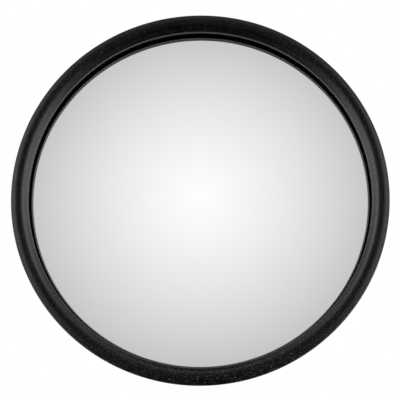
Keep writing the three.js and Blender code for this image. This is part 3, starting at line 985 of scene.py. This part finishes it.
place_piece("wall_bracket", wall_bracket_mesh(), IN_PLACE, "wall_mount", "powder_coat")
place_piece("swivel_arm", swivel_arm_mesh(), IN_PLACE, "arm", "powder_coat")
add_clamp("pan", AT_PAN, "wall_mount", "arm", "pan_lock", "pan_nut", ("top", "bottom"))
add_clamp("tilt", AT_TILT, "mirror_head", "arm", "tilt_lock", "tilt_nut", ("left", "right"))
add_head()

# ---------------------------------------------------------------- camera, floor and light

CAMERA_AZIMUTH = math.radians(1.0)
CAMERA_ELEVATION = math.radians(-12.4)
CAMERA_DISTANCE = 1.8
FOCAL_LENGTH = 204.4
AIM = HEAD_CENTRE + Vector((-0.1 * MM, 8 * MM, -1.6 * MM))
TOWARDS_CAMERA = Vector((
    math.sin(CAMERA_AZIMUTH) * math.cos(CAMERA_ELEVATION),
    -math.cos(CAMERA_AZIMUTH) * math.cos(CAMERA_ELEVATION),
    math.sin(CAMERA_ELEVATION),
))
FLOOR_HEIGHT = -1.2
FLOOR_RADIUS = 12

# The light. Directions are given by their angle in degrees from GLEAM, which the camera sees in the middle
# of the mirror.
GLEAM = Vector((-TOWARDS_CAMERA.x, TOWARDS_CAMERA.y, -TOWARDS_CAMERA.z))
SIDE_BOX = (35, 62, 85, 115)  # each box fades in between the first two, and out between the last two
TOP_BOX = (50, 60, 78, 92)
REAR_BOX = (122, 136)
SIDE_LIGHT = 2.2
TOP_LIGHT = 0.6
REAR_LIGHT = 1.2
FILL_LIGHT = 0.03
SOFT_FILL = 0.15  # added for matt surfaces
GLOW_REACH = 28.5  # from the middle of the mirror's glow to what its edge reflects
GLOW_CENTRE = 1.01
GLOW_FALL = 0.27  # how much the glow loses between its middle and its reach, evenly
GLOW_BEND = 0.14  # how much more it loses, mostly near its reach
GLOW_IN_RIM = 0.9  # the share of the glow that the rim sees in the mirror


def add_camera():
    camera = bpy.data.objects.new("camera", bpy.data.cameras.new("camera"))
    bpy.context.scene.collection.objects.link(camera)
    camera.data.lens = FOCAL_LENGTH
    camera.data.clip_start = 0.05
    camera.location = AIM + TOWARDS_CAMERA * CAMERA_DISTANCE
    camera.rotation_euler = (-TOWARDS_CAMERA).to_track_quat("-Z", "Y").to_euler()
    bpy.context.scene.camera = camera


def add_floor():
    bm = bmesh.new()
    bmesh.ops.create_circle(bm, cap_ends=True, segments=128, radius=FLOOR_RADIUS)
    mesh = bpy.data.meshes.new("floor")
    bm.to_mesh(mesh)
    bm.free()
    m = Finish("pale_floor")
    soft = m.noise(3, 3)
    colour = m.mix(m.span(soft, 0.3, 0.7), (0.8, 0.8, 0.8), (0.84, 0.84, 0.84))
    mesh.materials.append(m.feed(Base_Color=colour, Roughness=m.span(soft, 0.3, 0.7, 0.7, 0.8)))
    floor = bpy.data.objects.new("floor", mesh)
    floor.location.z = FLOOR_HEIGHT
    floor.visible_glossy = False
    bpy.context.scene.collection.objects.link(floor)


def add_studio():
    """A white surround that the camera sees, and the soft boxes that the object sees."""
    world = bpy.data.worlds.new("studio")
    bpy.context.scene.world = world
    world.use_nodes = True
    w = Nodes(world.node_tree)
    direction = w.add("ShaderNodeTexCoord").outputs["Generated"]
    right = Vector((0, 0, 1)).cross(GLEAM).normalized()
    up = GLEAM.cross(right)

    def along(axis):
        node = w.add("ShaderNodeVectorMath", {0: direction, 1: tuple(axis)}, operation="DOT_PRODUCT")
        return node.outputs["Value"]

    def times(a, b):
        return w.math("MULTIPLY", a, b)

    def plus(a, b):
        return w.math("ADD", a, b)

    def band(value, edges):
        """1 between the middle two of four rising edges, and 0 outside the outer two."""
        rise = w.span(value, edges[0], edges[1], smooth=True)
        return times(rise, w.span(value, edges[2], edges[3], 1, 0, smooth=True))

    angle = w.math("ARCCOSINE", w.math("MINIMUM", w.math("MAXIMUM", along(GLEAM), -1.0), 1.0))
    away = w.math("DEGREES", angle)
    reach = w.math("MAXIMUM", w.math("SINE", angle), 0.001)
    sideways = w.math("DIVIDE", w.math("ABSOLUTE", along(right)), reach)
    upwards = w.math("DIVIDE", along(up), reach)

    # A box at each side, weaker towards its foot, a box above, and more light from these sides far behind.
    sides = w.span(plus(sideways, times(upwards, 0.04)), 0.66, 1.0, smooth=True)
    top = w.span(upwards, 0.2, 0.9, smooth=True)
    side_band = times(band(away, SIDE_BOX), w.span(upwards, -0.8, 0, 0.5, 1))
    side_box = times(times(sides, side_band), SIDE_LIGHT)
    top_box = times(times(top, band(away, TOP_BOX)), TOP_LIGHT)
    rear_share = times(w.span(away, *REAR_BOX, smooth=True), w.math("MAXIMUM", sides, top))
    rear_box = times(rear_share, REAR_LIGHT)
    boxes = plus(plus(plus(side_box, top_box), rear_box), FILL_LIGHT)

    # The mirror itself shows a round glow that fades outwards. t is 0 at its middle and 1 near the edge.
    t = w.math("DIVIDE", away, GLOW_REACH)
    glow = w.math("SUBTRACT", GLOW_CENTRE, times(t, plus(times(t, GLOW_BEND), GLOW_FALL)))
    # Past its edge it shows a dim room, which gets darker further round.
    glow = w.math("MAXIMUM", glow, w.span(away, 30, 120, 0.5, 0.08))

    # Only the mirror gives singular rays. With a depth of 2 they come straight from the camera, and see
    # all of the glow. Deeper ones come from the rim, which sees it weaker, and only at the mirror's sides.
    path = w.add("ShaderNodeLightPath").outputs
    boxes = plus(boxes, times(path["Is Diffuse Ray"], SOFT_FILL))
    mirrored = times(w.span(sideways, 0.2, 0.7, 0, GLOW_IN_RIM), path["Is Singular Ray"])
    boxes = w.math("MAXIMUM", boxes, times(mirrored, glow))
    from_camera = times(w.math("LESS_THAN", path["Ray Depth"], 2.5), path["Is Singular Ray"])
    seen = w.blend(from_camera, boxes, glow)
    background = w.tree.nodes["Background"].inputs
    w.set(background["Color"], (1, 1, 1))
    w.set(background["Strength"], w.blend(path["Is Camera Ray"], seen, 1.0))


add_camera()
add_floor()
add_studio()
bpy.context.scene.view_settings.view_transform = "Standard"
